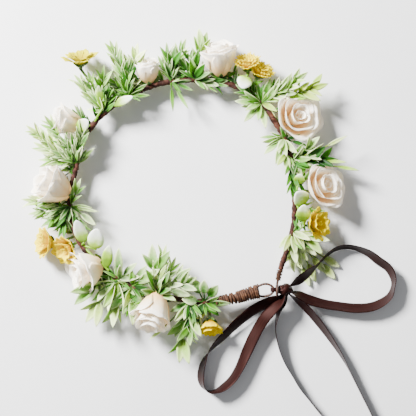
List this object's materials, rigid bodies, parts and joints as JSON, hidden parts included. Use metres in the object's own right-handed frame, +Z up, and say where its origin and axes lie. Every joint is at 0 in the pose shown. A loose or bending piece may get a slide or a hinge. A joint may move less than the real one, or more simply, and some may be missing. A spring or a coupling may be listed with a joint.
{
  "type": "flower crown",
  "caption": "Fabric flower crown: roses, small yellow flowers and frosted leaf sprigs taped to a bent wire ring that a satin ribbon bow closes.",
  "frame": {"origin": "on the surface the crown lies on, under the middle of its plan box measured without the two loose ribbon tails", "axes": "+Z up through the ring, +Y away from the ribbon bow's side, +X to the right with the bow at the front right"},
  "size_m": [0.3308, 0.3606, 0.0375],
  "materials": {
    "covered_wire": "paper-covered steel wire, dull brown",
    "florist_tape": "crinkled waxed paper tape",
    "paper_wire": "fine wound paper wire, dull",
    "satin_ribbon": "dark brown satin",
    "cream_petal": "matt cream fabric petals, peach in the folds",
    "yellow_petal": "matt golden yellow fabric",
    "green_stem": "moulded green plastic",
    "frosted_leaf": "moulded leaves with whitish frosting",
    "waxy_leaf": "thick waxy leaves, white above, lime at the base"
  },
  "bodies": {
    "crown": {"ring_wire": "covered_wire", "ring_tape": "florist_tape", "left_binding": "paper_wire", "right_binding": "paper_wire", "ribbon_tie": "satin_ribbon", "ribbon_knot": "satin_ribbon", "rose_1_bloom": "cream_petal", "rose_1_stem": "green_stem", "rose_2_bloom": "cream_petal", "rose_2_stem": "green_stem", "rose_3_bloom": "cream_petal", "rose_3_stem": "green_stem", "rose_4_bloom": "cream_petal", "rose_4_stem": "green_stem", "rose_5_bloom": "cream_petal", "rose_5_stem": "green_stem", "rose_6_bloom": "cream_petal", "rose_6_stem": "green_stem", "rose_7_bloom": "cream_petal", "rose_7_stem": "green_stem", "rose_8_bloom": "cream_petal", "rose_8_stem": "green_stem", "yellow_flower_1_bloom": "yellow_petal", "yellow_flower_1_stem": "green_stem", "yellow_flower_2_bloom": "yellow_petal", "yellow_flower_2_stem": "green_stem", "yellow_flower_3_bloom": "yellow_petal", "yellow_flower_3_stem": "green_stem", "yellow_flower_4_bloom": "yellow_petal", "yellow_flower_4_stem": "green_stem", "yellow_flower_5_bloom": "yellow_petal", "yellow_flower_5_stem": "green_stem", "yellow_flower_6_bloom": "yellow_petal", "yellow_flower_6_stem": "green_stem", "yellow_flower_7_bloom": "yellow_petal", "yellow_flower_7_stem": "green_stem", "leaf_sprig_1": "frosted_leaf", "leaf_sprig_2": "frosted_leaf", "leaf_sprig_3": "frosted_leaf", "leaf_sprig_4": "frosted_leaf", "leaf_sprig_5": "frosted_leaf", "leaf_sprig_6": "frosted_leaf", "leaf_sprig_7": "frosted_leaf", "leaf_sprig_8": "frosted_leaf", "leaf_sprig_9": "frosted_leaf", "leaf_sprig_10": "frosted_leaf", "leaf_sprig_11": "frosted_leaf", "leaf_sprig_12": "frosted_leaf", "leaf_sprig_13": "frosted_leaf", "leaf_sprig_14": "frosted_leaf", "leaf_sprig_15": "frosted_leaf", "waxy_sprig_1": "waxy_leaf", "waxy_sprig_2": "waxy_leaf", "waxy_sprig_3": "waxy_leaf", "waxy_sprig_4": "waxy_leaf", "waxy_sprig_5": "waxy_leaf"},
    "loop_right": {"ribbon_loop_right": "satin_ribbon"},
    "loop_left": {"ribbon_loop_left": "satin_ribbon"},
    "tail_left": {"ribbon_tail_left": "satin_ribbon"},
    "tail_right": {"ribbon_tail_right": "satin_ribbon"}
  },
  "joints": [
    {"name": "loop_right_lift", "type": "hinge", "parent": "crown", "child": "loop_right", "pos_m": [0.0654, -0.0646, 0.012], "axis": [-0.5736, -0.8191, 0], "range_deg": [-30, 40]},
    {"name": "loop_left_lift", "type": "hinge", "parent": "crown", "child": "loop_left", "pos_m": [0.0654, -0.0646, 0.012], "axis": [-0.9994, 0.0349, 0], "range_deg": [-30, 40]},
    {"name": "tail_left_lift", "type": "hinge", "parent": "crown", "child": "tail_left", "pos_m": [0.0654, -0.0646, 0.012], "axis": [-0.9397, -0.342, 0], "range_deg": [-30, 40]},
    {"name": "tail_right_lift", "type": "hinge", "parent": "crown", "child": "tail_right", "pos_m": [0.0654, -0.0646, 0.012], "axis": [-0.848, -0.5299, 0], "range_deg": [-30, 40]}
  ]
}
